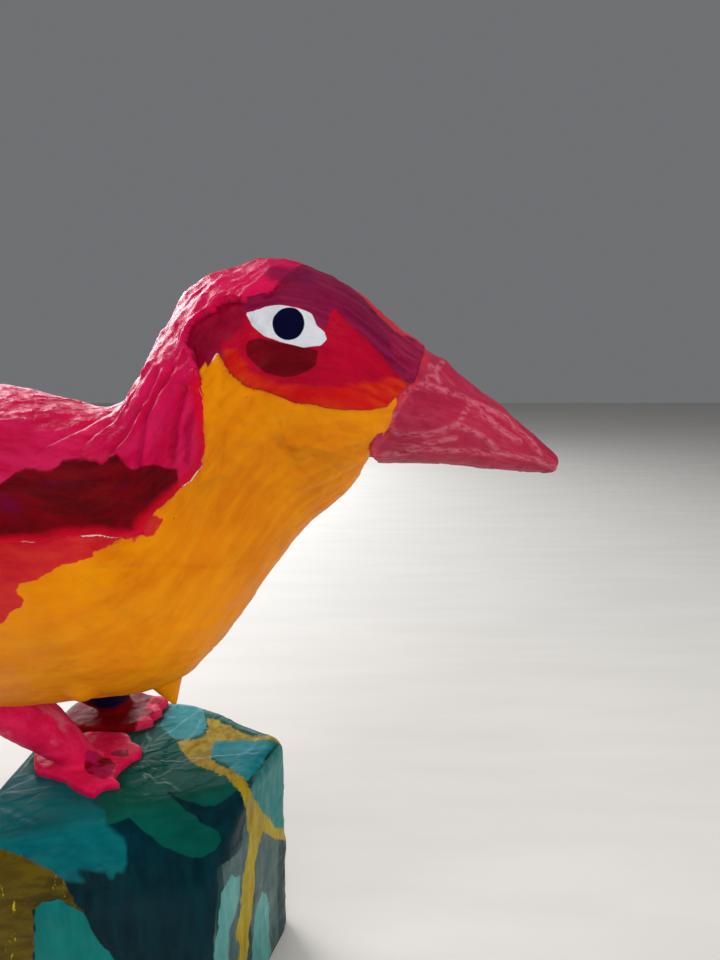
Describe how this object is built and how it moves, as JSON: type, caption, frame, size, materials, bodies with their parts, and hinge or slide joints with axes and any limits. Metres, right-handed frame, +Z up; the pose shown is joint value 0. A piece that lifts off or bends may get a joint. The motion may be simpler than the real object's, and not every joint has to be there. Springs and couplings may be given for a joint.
{
  "type": "alebrije figure",
  "caption": "Painted papier-mache bird with a long cone beak, perched on flat paper feet on an irregular painted block.",
  "frame": {"origin": "rest point on the underside of the block, at the foot of the figure", "axes": "+X from tail to beak, +Y to the bird's left, +Z up from the underside of the block"},
  "size_m": [0.4033, 0.1196, 0.2968],
  "materials": {
    "block_paint": "satin",
    "red_paint": "satin",
    "yellow_paint": "satin",
    "rose_paint": "satin",
    "pink_paint": "satin",
    "newspaper": "matte",
    "card": "matte",
    "masking_tape": "matte",
    "wood_core": "matte",
    "wire": "satin"
  },
  "bodies": {
    "root": {"block_core": "wood_core", "block_skin": "block_paint", "block_base_sheet": "block_paint", "foot_left": "pink_paint", "foot_right": "pink_paint", "leg_wrap_left": "pink_paint", "leg_wrap_right": "pink_paint", "leg_wire_left": "wire", "leg_wire_right": "wire", "hood_shell": "red_paint", "throat_shell": "yellow_paint", "belly_shell": "yellow_paint", "mantle_shell": "red_paint", "body_core": "newspaper", "head_core": "newspaper", "neck_wire": "wire", "neck_tape": "masking_tape", "beak_cone": "card", "beak_skin": "rose_paint", "beak_plug": "newspaper", "tail_card": "card", "tail_skin": "red_paint", "rump_plug": "newspaper"}
  },
  "joints": []
}
